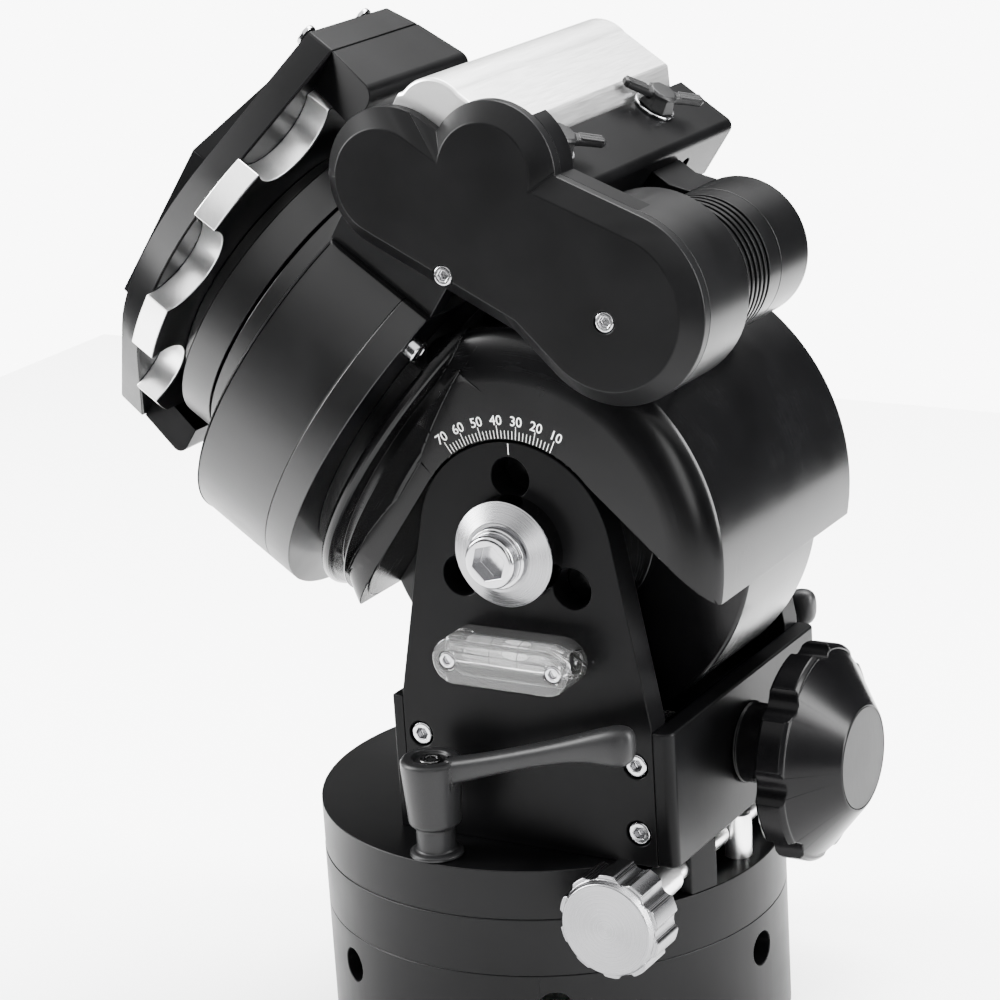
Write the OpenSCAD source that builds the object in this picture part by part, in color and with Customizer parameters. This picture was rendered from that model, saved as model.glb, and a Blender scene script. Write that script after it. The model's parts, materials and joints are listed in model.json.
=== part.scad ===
// Equatorial mount, right-ascension half, on its pier adapter.
// Frame: +Z up, origin at the centre of the adapter's bottom face, +X towards the altitude knob.
// The polar axis rises towards -X. All sizes in millimetres.

/* [Pier] */
// Outside diameter of the pier adapter, azimuth ring and azimuth base
pier_d = 203.2; // [200:0.1:206]
// Height of the pier adapter
adapter_h = 60; // [55:1:90]
// Diameter of the socket that takes the pier tube
socket_d = 177.8; // [170:0.1:180]
// Depth of the pier socket
socket_depth = 52.5; // [48:0.5:52.5]
// Thickness of the azimuth ring
ring_h = 25.4; // [24:0.1:27]
// Thickness of the rotating azimuth base
base_h = 22; // [20:0.5:24]

/* [Fork] */
// Width over the two side plates
fork_w = 142; // [140:0.5:144]
// Thickness of a side plate
plate_t = 12.7; // [12:0.1:13]
// Altitude pivot's distance in front of the pier's centre
pivot_x = 29.4; // [28:0.1:31]
// Altitude pivot's height above the azimuth base
pivot_rise = 131.8; // [131:0.1:134]
// Radius of a side plate's round top
plate_top_r = 44.5; // [43:0.5:45]

/* [Polar axis] */
// Latitude that the mount stands at
latitude = 34.4; // [30:0.1:40]
// Distance of the polar axis below the altitude pivot
axis_drop = 7.4; // [6:0.1:8]
// Diameter of the wheel housing
drum_d = 203.2; // [200:0.1:204]
// Radius of the body's round back about the altitude pivot
back_r = 90; // [88:0.5:91]
// Polar shaft diameter
shaft_d = 40; // [38:1:42]

/* [Hidden] */
$fn = 96;
eps = 0.01;
BLACK = [0.10, 0.10, 0.11];
DARK = [0.16, 0.16, 0.17];
SILVER = [0.82, 0.83, 0.85];
STEEL = [0.62, 0.63, 0.65];
BRASS = [0.75, 0.60, 0.30];

pier_r = pier_d / 2;
ring_z = adapter_h;
base_z = ring_z + ring_h;
deck_z = base_z + base_h;
pivot_z = deck_z + pivot_rise;
fork_y = fork_w / 2;
inner_y = fork_y - plate_t;
plate_half = 58.6;
plate_shoulder = -70;
drum_r = drum_d / 2;
shaft_r = shaft_d / 2;
run_gap = 0.05;

// Azimuth adjuster
peg_x = 90;
peg_r = 6;
recess_half = 33;
lug_t = 13;
az_x = 84;
az_z = base_z + base_h / 2;
az_rod_r = 5;
az_stem_r = 7;
az_knob_y = 90;
az_knob_h = 21;

// Lock levers
lever_x = -5;
lever_y = 91;

// Altitude drive
alt_z = adapter_h + 78;
keel_r = back_r - 2;
keel_half = 33;
sector_teeth = 144;
sector_pitch = 2 * PI * keel_r / sector_teeth;
rim_half = 62;
front_x = 96.7;
block_top = adapter_h + 106.7;
worm_x0 = 8;
worm_x1 = 50;

// Stations along the polar axis, from the altitude pivot
q_nut = -55.5;
q_flange = 78.7;
q_seam = 92;
q_drum = 132.2;
q_hub = 134;
q_circle = 147.6;
q_disc = 174;
q_plate = 186;
q_front = 201;
q_dec = 213;
flat_m = 67.5;
body_y = 70.7;

// Wheel, worm and gear centres, as [distance from the polar axis, station]
worm_c = [108, 120];
idler_c = [139, 85];
pinion_c = [131, 30];
small_c = pinion_c + (idler_c - pinion_c) * (10 + 10.9) / 55.6;
motor_c = [127.5, 11.5];
wheel_r = 94.6;
wheel_teeth = 180;
wheel_pitch = 2 * PI * wheel_r / wheel_teeth;
gear_y = -74.6;
gear_t = 6;
case_y = -73;
cover_y = -85;
block_top_m = 154;

// ---- frames -------------------------------------------------------------
// Altitude pivot frame: X is square to the polar axis, Z runs along it.
module at_pivot() {
    translate([pivot_x, 0, pivot_z]) rotate([0, latitude - 90, 0]) children();
}

// Polar axis frame: [distance above the axis, Y, station].
module on_axis() {
    at_pivot() translate([-axis_drop, 0, 0]) children();
}

// A solid of revolution about the altitude axis.
module about_pivot() {
    translate([pivot_x, 0, pivot_z]) rotate([90, 0, 0]) children();
}

// Extrudes a 2D outline in [distance, station] from y0 towards -Y.
module sideways(y0, depth) {
    translate([0, y0, 0]) rotate([90, 0, 0]) linear_extrude(depth) children();
}

module on_both_sides() {
    children();
    mirror([0, 1, 0]) children();
}

module ring(h, outer, inner) {
    difference() {
        cylinder(h = h, r = outer);
        translate([0, 0, -eps]) cylinder(h = h + 2 * eps, r = inner);
    }
}

// Hexagon socket cap screw, head top at z = 0, shank downwards.
module cap_screw(head_r, head_h, shank_r, shank_l) {
    difference() {
        union() {
            translate([0, 0, -head_h]) cylinder(h = head_h - 0.4, r = head_r);
            translate([0, 0, -0.4]) cylinder(h = 0.4, r1 = head_r, r2 = head_r - 0.4);
            translate([0, 0, -head_h - shank_l]) cylinder(h = shank_l + eps, r = shank_r);
        }
        translate([0, 0, -head_h * 0.6]) cylinder(h = head_h, r = head_r * 0.56, $fn = 6);
    }
}

// Round grip with scallops, base at z = 0.
module scalloped_grip(r, h, count, cut_r, cut_at) {
    difference() {
        cylinder(h = h, r = r);
        for (i = [0 : count - 1])
            rotate([0, 0, i * 360 / count]) translate([cut_at, 0, -eps]) cylinder(h = h + 1, r = cut_r);
    }
}

// Spur gear blank whose tips stay just inside the pitch circle.
module gear(r, teeth, t, bore_r) {
    depth = 1.6;
    difference() {
        cylinder(h = t, r = r - 0.2);
        for (i = [0 : teeth - 1])
            rotate([0, 0, i * 360 / teeth]) translate([r - depth, -r * 0.7 / teeth * 2, -eps])
                cube([depth + 1, r * 1.4 / teeth * 2, t + 1]);
        translate([0, 0, -eps]) cylinder(h = t + 1, r = bore_r);
    }
}

// ---- pier and azimuth ---------------------------------------------------
radial_hole_angles = [for (i = [0 : 5]) 27.6 + 60 * i - 90];

module pier_adapter() {
    hole_z = adapter_h - 15.2;
    color(BLACK) difference() {
        cylinder(h = adapter_h, r = pier_r, $fn = 180);
        translate([0, 0, -eps]) cylinder(h = socket_depth + eps, r = socket_d / 2, $fn = 180);
        translate([0, 0, -1]) cylinder(h = adapter_h + 2, r = 40);
        for (a = radial_hole_angles)
            rotate([0, 0, a]) translate([socket_d / 2 - 5, 0, hole_z]) rotate([0, 90, 0])
                cylinder(h = 30, r = 7.5);
        for (i = [0 : 5])
            rotate([0, 0, 60 * i]) translate([68, 0, socket_depth - 1]) {
                cylinder(h = 20, r = 3.3);
                cylinder(h = 5.3, r = 5.2);
            }
    }
}

module adapter_screws() {
    color(STEEL) for (i = [0 : 5])
        rotate([0, 0, 60 * i]) translate([68, 0, socket_depth + 0.2]) mirror([0, 0, 1])
            cap_screw(4.8, 4, 3.25, adapter_h - socket_depth + 7.5);
}

module azimuth_ring() {
    color(BLACK) difference() {
        translate([0, 0, ring_z]) cylinder(h = ring_h, r = pier_r, $fn = 180);
        translate([0, 0, ring_z - 1]) cylinder(h = ring_h + 2, r = 12);
        translate([0, 0, base_z - 4]) ring(5, 62, 38);
        translate([peg_x, 0, base_z - 16]) cylinder(h = 20, r = peg_r);
        for (i = [0 : 5])
            rotate([0, 0, 60 * i]) translate([68, 0, ring_z - 1]) cylinder(h = 13.2, r = 3.3);
    }
}

module azimuth_peg() {
    color(SILVER) translate([peg_x, 0, base_z - 16]) {
        cylinder(h = 16 + base_h - 2.4, r = peg_r);
        translate([0, 0, 16 + base_h - 2.4 - eps]) cylinder(h = 0.8, r1 = peg_r, r2 = peg_r - 0.8);
    }
}

module thrust_bearing() {
    color(STEEL) translate([0, 0, base_z - 4]) ring(3.95, 61.9, 38.1);
}

module azimuth_pivot_bolt() {
    color(STEEL) {
        translate([0, 0, ring_z - 1]) cylinder(h = ring_h + base_h - 7.2, r = 11.95);
        translate([0, 0, ring_z - 7]) cylinder(h = 7, r = 18, $fn = 6);
    }
}

module azimuth_base() {
    lug_in = recess_half;
    lug_out = recess_half + lug_t;
    color(BLACK) difference() {
        translate([0, 0, base_z]) cylinder(h = base_h, r = pier_r - 0.2, $fn = 180);
        translate([0, 0, base_z - 1]) cylinder(h = base_h + 2, r = 12);
        translate([74, -lug_in, base_z - 1]) cube([40, 2 * lug_in, base_h + 2]);
        on_both_sides() {
            translate([74, lug_out, base_z - 1]) cube([40, 40, base_h + 2]);
            translate([az_x, lug_in - 1, az_z]) rotate([-90, 0, 0])
                cylinder(h = lug_t + 2, r = az_rod_r + run_gap);
            translate([lever_x, lever_y, deck_z - 15]) cylinder(h = 16, r = 5);
        }
    }
}

module azimuth_screw() {
    tip = peg_r + 0.3;
    color(SILVER) translate([az_x, 0, az_z]) rotate([90, 0, 0]) {
        translate([0, 0, tip]) cylinder(h = 50, r = az_rod_r);
        translate([0, 0, 54.5]) cylinder(h = az_knob_y - 54.5, r = az_stem_r);
        translate([0, 0, az_knob_y - eps]) cylinder(h = 12, r = 4);
    }
}

module azimuth_screw_near() azimuth_screw();

module azimuth_screw_far() mirror([0, 1, 0]) azimuth_screw();

module azimuth_knob() {
    color(SILVER) translate([az_x, 0, az_z]) rotate([90, 0, 0]) translate([0, 0, az_knob_y + 0.1])
        difference() {
            union() {
                scalloped_grip(22.5, az_knob_h - 3, 10, 5, 25.4);
                translate([0, 0, az_knob_h - 3 - eps]) cylinder(h = 3, r1 = 20.8, r2 = 19.5);
            }
            translate([0, 0, -1]) cylinder(h = 14, r = 4 + run_gap);
        }
}

module azimuth_knob_near() azimuth_knob();

module azimuth_knob_far() mirror([0, 1, 0]) azimuth_knob();

// ---- fork ---------------------------------------------------------------
module plate_outline() {
    lean = 11.5;
    tip = [plate_top_r * cos(lean), plate_top_r * sin(lean)];
    union() {
        circle(r = plate_top_r);
        polygon([[-tip[0], tip[1]], [-plate_half, plate_shoulder], [-plate_half, -pivot_rise],
            [plate_half, -pivot_rise], [plate_half, plate_shoulder], [tip[0], tip[1]]]);
    }
}

module side_plate() {
    about_pivot() translate([0, 0, inner_y]) difference() {
        linear_extrude(plate_t) plate_outline();
        for (a = [90, 210, 330])
            rotate([0, 0, a]) translate([29.6, 0, -1]) cylinder(h = plate_t + 2, r = 8.7);
        translate([0, 0, -1]) cylinder(h = plate_t + 2, r = 8.2);
        for (x = [-50.6, 50.6])
            for (z = [-88.1, -117.7])
                translate([x, z, -1]) {
                    cylinder(h = plate_t + 2, r = 3.4);
                    translate([0, 0, 1 + plate_t - 6.3]) cylinder(h = 8, r = 5.6);
                }
        for (x = [-24.6, 24.6])
            translate([x, -45.5, plate_t - 8]) cylinder(h = 9, r = 2);
    }
}

module side_plate_near() color(BLACK) side_plate();

module side_plate_far() color(BLACK) mirror([0, 1, 0]) side_plate();

module side_plate_screws() {
    color(STEEL) on_both_sides() about_pivot() for (x = [-50.6, 50.6])
        for (z = [-88.1, -117.7])
            translate([x, z, fork_y - 0.3]) cap_screw(4.8, 6, 3.3, 18);
}

module front_block() {
    inner = pivot_x + plate_half;
    h = block_top - deck_z;
    c = 4.3;
    color(BLACK) difference() {
        union() {
            translate([inner, -fork_y, deck_z + 0.6]) cube([front_x - inner - c, fork_w, h - 0.6]);
            translate([inner, -fork_y + c, deck_z + 0.6])
                cube([front_x - inner, fork_w - 2 * c, h - 0.6]);
            on_both_sides() translate([front_x - c, fork_y - c, deck_z + 0.6])
                cylinder(h = h - 0.6, r = c);
            translate([inner - 18, -inner_y, deck_z]) cube([18 + eps, 2 * inner_y, h - 14]);
        }
        translate([inner - 30, 0, alt_z]) rotate([0, 90, 0]) cylinder(h = 80, r = 11.1);
        translate([pivot_x, inner_y + 20, pivot_z]) rotate([90, 0, 0])
            cylinder(h = 2 * inner_y + 40, r = back_r + 1.5);
        on_both_sides() about_pivot() for (z = [-88.1, -117.7])
            translate([50.6, z, inner_y - 13]) cylinder(h = 14, r = 3.3);
    }
}

module rear_brace() {
    outer = pivot_x - plate_half - 5;
    h = adapter_h + 107.3 - deck_z;
    color(BLACK) difference() {
        union() {
            translate([outer, -fork_y, deck_z]) cube([5, fork_w, h]);
            translate([outer + 5 - eps, -inner_y, deck_z]) cube([16, 2 * inner_y, 50]);
        }
        translate([outer - 1, -54, alt_z + 13]) cube([40, 108, h]);
        translate([outer - 1, 0, alt_z]) rotate([0, 90, 0]) cylinder(h = 40, r = 11.1);
        on_both_sides() about_pivot() for (z = [-88.1, -117.7])
            translate([-50.6, z, inner_y - 13]) cylinder(h = 14, r = 3.3);
        translate([outer + 12, 0, 0]) on_both_sides()
            translate([0, inner_y - 20, alt_z + 10]) cube([20, 30, 40]);
    }
}

module pivot_spacers() {
    color(SILVER) on_both_sides() about_pivot() translate([0, 0, fork_y]) difference() {
        union() {
            cylinder(h = 9, r = 22.5);
            translate([0, 0, 9 - eps]) cylinder(h = 4.5, r1 = 22.5, r2 = 14.5);
        }
        translate([0, 0, -1]) cylinder(h = 20, r = 8.2);
    }
}

module pivot_bolts() {
    color(STEEL) on_both_sides() about_pivot() translate([0, 0, fork_y + 13.5]) difference() {
        union() {
            translate([0, 0, -50]) cylinder(h = 50 + eps, r = 8);
            cylinder(h = 7.5, r = 13);
            translate([0, 0, 7.5 - eps]) cylinder(h = 1.2, r1 = 13, r2 = 11.8);
        }
        translate([0, 0, 1]) cylinder(h = 9, r = 7.9, $fn = 6);
    }
}

module pivot_thrust_washers() {
    color(BRASS) on_both_sides() about_pivot() translate([0, 0, inner_y - 0.85]) ring(0.8, 20, 8.3);
}

// ---- bubble level -------------------------------------------------------
level_z = -45.5;
level_half = 31.3;
level_r = 10;
level_d = 18.4;

module level_block() {
    color([0.85, 0.9, 0.95, 0.5]) about_pivot() translate([0, level_z, fork_y]) difference() {
        union() {
            translate([-(level_half - level_r), -level_r, 0])
                cube([2 * (level_half - level_r), 2 * level_r, level_d]);
            for (s = [-1, 1])
                translate([s * (level_half - level_r), 0, 0]) cylinder(h = level_d, r = level_r);
        }
        translate([-26, 1.5, 8.5]) rotate([0, 90, 0]) cylinder(h = 60, r = 5.2);
        for (s = [-1, 1])
            translate([s * 24.6, 0, -1]) {
                cylinder(h = 30, r = 2);
                translate([0, 0, level_d - 3]) cylinder(h = 10, r = 4);
            }
    }
}

module level_vial() {
    color([0.9, 0.95, 0.8, 0.6]) about_pivot() translate([-19, level_z + 1.5, fork_y + 8.5])
        rotate([0, 90, 0]) cylinder(h = 38, r = 5);
}

module level_screws() {
    color(STEEL) about_pivot() for (s = [-1, 1])
        translate([s * 24.6, level_z, fork_y + level_d - 0.2]) cap_screw(3.6, 2.8, 1.95, 22);
}

// ---- lock levers --------------------------------------------------------
module lock_lever() {
    rise = 16.6;
    arm = 94;
    up = arm * tan(rise);
    foot = deck_z + 0.3;
    color(DARK) translate([lever_x, -lever_y, 0]) {
        translate([0, 0, deck_z - 14]) cylinder(h = 20, r = 4.9);
        translate([0, 0, foot]) rotate_extrude()
            polygon([[0, 0], [10, 0], [10, 8], [13.2, 33], [13.2, 42], [11, 45], [0, 45]]);
        translate([0, 6, foot]) rotate([90, 0, 0]) linear_extrude(12)
            polygon([[4, 33], [4, 42.5], [arm - 10, 42 + up], [arm - 3, 40 + up], [arm, 34 + up],
                [arm - 1, 26 + up], [arm - 8, 23 + up]]);
    }
}

module lock_lever_near() lock_lever();

module lock_lever_far() mirror([0, 1, 0]) lock_lever();

// ---- altitude drive -----------------------------------------------------
module altitude_knob() {
    color(BLACK) translate([front_x + 0.3, 0, alt_z]) rotate([0, 90, 0]) {
        cylinder(h = 1.2, r = 19.7);
        translate([0, 0, 1.2 - eps]) cylinder(h = 17, r = 18);
        translate([0, 0, 15]) scalloped_grip(46, 19, 8, 10, 52);
        translate([0, 0, 34 - eps]) cylinder(h = 18.4, r1 = 43, r2 = 22.7);
    }
}

module altitude_worm() {
    color(STEEL) translate([0, 0, alt_z]) rotate([0, 90, 0]) {
        translate([0, 0, pivot_x - plate_half - 1])
            cylinder(h = front_x + 1.3 - pivot_x + plate_half, r = 8);
        translate([0, 0, worm_x0]) cylinder(h = worm_x1 - worm_x0, r = 9.5);
        for (x = [worm_x0 + 2 : sector_pitch : worm_x1 - 3])
            translate([0, 0, x]) cylinder(h = sector_pitch / 2, r = 12.4);
    }
}

module altitude_worm_bushes() {
    color(BRASS) translate([0, 0, alt_z]) rotate([0, 90, 0]) {
        translate([0, 0, pivot_x + plate_half - 18]) ring(26, 11, 8 + run_gap);
        translate([0, 0, pivot_x - plate_half - 4]) ring(19, 11, 8 + run_gap);
    }
}

// ---- polar body ---------------------------------------------------------
shoulder_r = 70;

function bulge(n) = [for (i = [0 : n]) let (a = 90 - 68 * i / n)
    [shoulder_r + (back_r - shoulder_r) * cos(a) / cos(22),
     rim_half + (body_y - rim_half) * (sin(a) - sin(22)) / (1 - sin(22))]];

module round_back() {
    half = concat([[0, body_y]], bulge(2));
    lower = [for (i = [len(half) - 1 : -1 : 0]) [half[i][0], -half[i][1]]];
    about_pivot() rotate_extrude($fn = 180) polygon(concat(half, lower));
}

// The quarter that the fork plates swing through.
module fork_space() {
    polygon([[0, 45.6], [-130, 47], [-130, -130], [31.5, -130], [36, -77], [44.2, -8], [0, 0]]);
}

// Drum-shaped front of the body, with its lip between two grooves.
module barrel() {
    on_axis() intersection() {
        rotate_extrude($fn = 180)
            polygon([[0, 0], [89.5, 0], [89.5, 59], [84, 59], [84, 64], [90, 64], [92.4, 65.6], [92.4, 68.6],
                [90, 70.2], [83, 70.2], [83, q_flange + 1], [0, q_flange + 1]]);
        union() {
            translate([-120, -body_y + 0.2, -10]) cube([240, 2 * body_y - 0.4, 70]);
            translate([0, 0, 59]) cylinder(h = 25, r = 100);
        }
    }
}

module polar_body() {
    color(BLACK) difference() {
        union() {
            difference() {
                union() {
                    round_back();
                    barrel();
                }
                at_pivot() sideways(100, 200) fork_space();
            }
            about_pivot() translate([0, 0, -keel_half]) cylinder(h = 2 * keel_half, r = keel_r, $fn = 180);
            about_pivot() translate([0, 0, -inner_y + 0.8]) cylinder(h = 2 * inner_y - 1.6, r = 44);
        }
        on_both_sides() about_pivot() {
            translate([0, 0, inner_y - 0.9]) cylinder(h = 30, r = plate_top_r + 0.9);
            translate([0, 0, 34]) cylinder(h = 30, r = 8 + run_gap);
        }
        on_axis() {
            translate([0, 0, q_nut - 0.5]) cylinder(h = 200, r = shaft_r + 1);
            translate([0, 0, q_nut - 0.5]) cylinder(h = 20, r = 28);
            translate([0, 0, q_flange - 20]) cylinder(h = 30, r = 42);
            translate([0, 0, q_flange]) cylinder(h = 40, r = 120);
        }
    }
}

flange_screw_angles = [90, 215, 325];

module ring_flange() {
    color(BLACK) on_axis() translate([0, 0, q_flange]) difference() {
        cylinder(h = q_seam - q_flange, r = drum_r, $fn = 180);
        translate([0, 0, -1]) cylinder(h = 30, r = shaft_r + 1);
        translate([flat_m, -120, -1]) cube([80, 240, 40]);
        for (a = flange_screw_angles)
            rotate([0, 0, a + 90]) translate([95, 0, -1]) cylinder(h = 40, r = 2.6);
    }
}

module flange_screws() {
    color(STEEL) on_axis() for (a = flange_screw_angles)
        rotate([0, 0, a + 90]) translate([95, 0, q_flange - 5]) mirror([0, 0, 1])
            cap_screw(4.8, 5, 2.5, 20);
}

module wheel_housing() {
    h = q_drum - q_seam;
    color(BLACK) on_axis() translate([0, 0, q_seam]) difference() {
        union() {
            cylinder(h = h - 1.5, r = drum_r, $fn = 180);
            translate([0, 0, h - 1.5 - eps]) cylinder(h = 1.5, r1 = drum_r, r2 = drum_r - 1.5, $fn = 180);
        }
        translate([0, 0, 12]) cylinder(h = h - 14.7, r = wheel_r + 1.4, $fn = 180);
        translate([0, 0, -1]) cylinder(h = h + 2, r = shaft_r + 1);
        translate([flat_m, -120, -1]) cube([80, 240, 60]);
        for (a = flange_screw_angles)
            rotate([0, 0, a + 90]) translate([95, 0, -1]) cylinder(h = 8, r = 2.6);
    }
}

module polar_bearings() {
    color(STEEL) on_axis() {
        translate([0, 0, q_nut + 6.3]) ring(12, 27.9, shaft_r + run_gap);
        translate([0, 0, q_flange - 19]) ring(18, 41.9, shaft_r + run_gap);
    }
}

module polar_shaft() {
    color(STEEL) on_axis() difference() {
        translate([0, 0, q_nut]) cylinder(h = q_disc - q_nut, r = shaft_r);
        translate([0, 0, q_nut - 1]) cylinder(h = q_disc - q_nut + 5, r = 14);
    }
}

module shaft_nut() {
    color(STEEL) on_axis() translate([0, 0, q_nut]) ring(5.8, 27, shaft_r);
}

module worm_wheel() {
    color(BRASS) on_axis() translate([0, 0, worm_c[1] - 9]) difference() {
        union() {
            cylinder(h = 18, r = wheel_r - 1.2, $fn = 180);
            cylinder(h = 2, r = wheel_r, $fn = 180);
            translate([0, 0, 16]) cylinder(h = 2, r = wheel_r, $fn = 180);
        }
        translate([0, 0, -1]) cylinder(h = 20, r = shaft_r + run_gap);
    }
}

// ---- worm block and gear train -----------------------------------------
module worm_block() {
    color(SILVER) on_axis() difference() {
        sideways(71, 71 - case_y) union() {
            polygon([[flat_m, 84], [145, 84], [block_top_m, 91], [block_top_m, 119], [138, 137],
                [flat_m, 133]]);
            translate([138, 119]) circle(r = 16.5);
        }
        sideways(case_y + tray_depth + 0.05, 30) polygon([[0, 80], [foot_m, 80], [foot_m, 140], [0, 140]]);
        translate([0, 0, worm_c[1] - 10.5]) cylinder(h = 21, r = wheel_r + 1.4, $fn = 180);
        translate([worm_c[0], -80, worm_c[1]]) rotate([-90, 0, 0]) cylinder(h = 130, r = 14.6);
        translate([idler_c[0], -80, idler_c[1]]) rotate([-90, 0, 0]) cylinder(h = 14, r = 3.05);
    }
}

module polar_worm() {
    color(STEEL) on_axis() translate([worm_c[0], 0, worm_c[1]]) rotate([90, 0, 0]) {
        translate([0, 0, -44]) cylinder(h = 44 - gear_y + 5.8, r = 5);
        translate([0, 0, -26]) cylinder(h = 52, r = 10.4);
        for (z = [-24 : wheel_pitch : 22])
            translate([0, 0, z]) cylinder(h = wheel_pitch / 2, r = 12.6);
    }
}

module worm_bearings() {
    color(STEEL) on_axis() translate([worm_c[0], 0, worm_c[1]]) rotate([90, 0, 0])
        for (z = [-44, 58])
            translate([0, 0, z]) ring(10, 14.55, 5 + run_gap);
}

module on_gear(centre) {
    on_axis() translate([centre[0], gear_y, centre[1]]) rotate([90, 0, 0]) children();
}

module worm_gear() color(BRASS) on_gear(worm_c) gear(23, 46, gear_t, 5);

module idler_gear() color(BRASS) on_gear(idler_c) gear(23.8, 47, gear_t, 3 + run_gap);

module small_idler() color(BRASS) on_gear(small_c) gear(10.9, 22, gear_t, 3 + run_gap);

module motor_pinion() {
    color(STEEL) on_gear(pinion_c) {
        gear(10, 20, gear_t, 2.5);
        translate([0, 0, -34]) cylinder(h = 34 + gear_t, r = 2.5);
    }
}

module gear_posts() {
    color(STEEL) for (c = [idler_c, small_c])
        on_gear(c) {
            translate([0, 0, -8]) cylinder(h = 8 + gear_t + 0.6, r = 3);
            translate([0, 0, gear_t + 0.3]) cylinder(h = 1, r = 4.5);
        }
}

// Cover outline: worm lobe, idler lobe and motor lobe, drawn as [distance, station] circles.
lobe_worm = [108.4, 120.3, 29.2];
lobe_idler = [139, 85.2, 28];
lobe_motor = [125.2, 14.5, 39.3];
waist_top = [130, 58, 24.5];
waist_low = [115, 44, 24.5];
bevel = 7;

module lobe(c, shrink, h, bev) {
    translate([c[0], c[1], 0]) {
        cylinder(h = h - bev + eps, r = c[2] - shrink, $fn = 64);
        translate([0, 0, h - bev])
            cylinder(h = bev, r1 = c[2] - shrink, r2 = c[2] - shrink - bev, $fn = 64);
    }
}

module cloud(shrink, h, bev) {
    hull() {
        lobe(lobe_motor, shrink, h, bev);
        lobe(waist_top, shrink, h, bev);
        lobe(waist_low, shrink, h, bev);
    }
    hull() {
        lobe(lobe_worm, shrink, h, bev);
        lobe(waist_low, shrink, h, bev);
    }
    hull() {
        lobe(waist_top, shrink, h, bev);
        lobe(waist_low, shrink, h, bev);
        lobe([112, 85, 24.5], shrink, h, bev);
    }
    lobe(lobe_idler, shrink, h, bev);
}

cover_screws = [[92.8, 79.2], [121.6, 12.7]];

module gear_cover() {
    color(BLACK) on_axis() translate([0, case_y, 0]) rotate([90, 0, 0]) difference() {
        cloud(0, case_y - cover_y, bevel);
        difference() {
            translate([0, 0, -1]) cloud(3.8, 8.9, 0.1);
            for (s = cover_screws)
                translate([s[0], s[1], -2]) cylinder(h = 20, r = 6);
        }
        for (c = [idler_c, small_c])
            translate([c[0], c[1], -1]) cylinder(h = 10.4, r = 5.5);
        for (s = cover_screws)
            translate([s[0], s[1], -1]) {
                cylinder(h = 30, r = 2.2);
                translate([0, 0, 10]) cylinder(h = 10, r = 4.6);
            }
    }
}

module gear_cover_screws() {
    color(STEEL) on_axis() for (s = cover_screws)
        translate([s[0], cover_y + 0.2, s[1]]) rotate([90, 0, 0]) cap_screw(4.2, 2.6, 2.1, 18);
}

// Shallow tray under the idler and worm lobes, joined to the deep round part at the motor.
module case_outline() {
    polygon([[lobe_motor[0], lobe_motor[1]], [87.5, 24], [90.6, 44.5], [88, 60], [84, 83.6],
        [150, 83.6], [154.3, 58.4], [161, 30]]);
}

tray_depth = 11;
case_depth = 35;
foot_m = 86;

// Foot of the tray, standing on the drum's flat in front of the worm block.
module case_foot() {
    polygon([[flat_m + 0.05, 79], [flat_m + 0.05, 132.9], [foot_m - 0.05, 134], [foot_m - 0.05, 83.7],
        [95, 83.7], [95, 79]]);
}

module gear_case() {
    color(BLACK) on_axis() difference() {
        union() {
            sideways(case_y + tray_depth, tray_depth) {
                case_outline();
                case_foot();
            }
            translate([lobe_motor[0], case_y, lobe_motor[1]]) rotate([-90, 0, 0])
                cylinder(h = case_depth, r = lobe_motor[2]);
        }
        translate([0, 0, worm_c[1] - 10.5]) cylinder(h = 21, r = wheel_r + 1.4, $fn = 180);
        translate([axis_drop, 100, 0]) rotate([90, 0, 0]) cylinder(h = 200, r = back_r + 0.05, $fn = 180);
        translate([pinion_c[0], case_y - 1, pinion_c[1]]) rotate([-90, 0, 0]) cylinder(h = 80, r = 5);
        for (c = [idler_c, small_c])
            translate([c[0], case_y - 1, c[1]]) rotate([-90, 0, 0]) cylinder(h = 9, r = 3.05);
        for (s = cover_screws)
            translate([s[0], -80, s[1]]) rotate([-90, 0, 0]) cylinder(h = 25, r = 2.1);
    }
}

motor_r = 29.5;
motor_y0 = -38;
motor_y1 = 5;
motor_y2 = 33;

module motor() {
    grooves = 6;
    color(DARK) on_axis() translate([motor_c[0], motor_y0, motor_c[1]]) rotate([-90, 0, 0]) difference() {
        cylinder(h = motor_y1 - motor_y0, r = motor_r);
        for (i = [0 : grooves - 1])
            translate([0, 0, 10 + i * 4]) ring(2, motor_r + 5, motor_r - 2.4);
        translate([pinion_c[0] - motor_c[0], pinion_c[1] - motor_c[1], 0]) cylinder(h = 8, r = 5);
    }
}

module motor_cap() {
    color(BLACK) on_axis() translate([motor_c[0], motor_y1, motor_c[1]]) rotate([-90, 0, 0]) {
        cylinder(h = motor_y2 - motor_y1 - 1.5, r = motor_r);
        translate([0, 0, motor_y2 - motor_y1 - 1.5 - eps])
            cylinder(h = 1.5, r1 = motor_r, r2 = motor_r - 1.5);
    }
}

module motor_arm() {
    color(BLACK) on_axis() difference() {
        sideways(motor_y2 - 2, motor_y2 - motor_y1 - 3)
            polygon([[motor_c[0] - 6, 30], [motor_c[0] - 6, 53.9], [141, 53.9], [141, 45], [146, 32],
                [156, 18], [150, 14], [135, 14]]);
        translate([motor_c[0], -60, motor_c[1]]) rotate([-90, 0, 0]) cylinder(h = 120, r = motor_r + 0.02);
    }
}

bracket_m = 149;
bracket_q = 54;
bracket_y = [-61, 76];
bracket_l = bracket_y[1] - bracket_y[0];
knob_q = 77;
knob_ys = [-50, 38];

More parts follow.
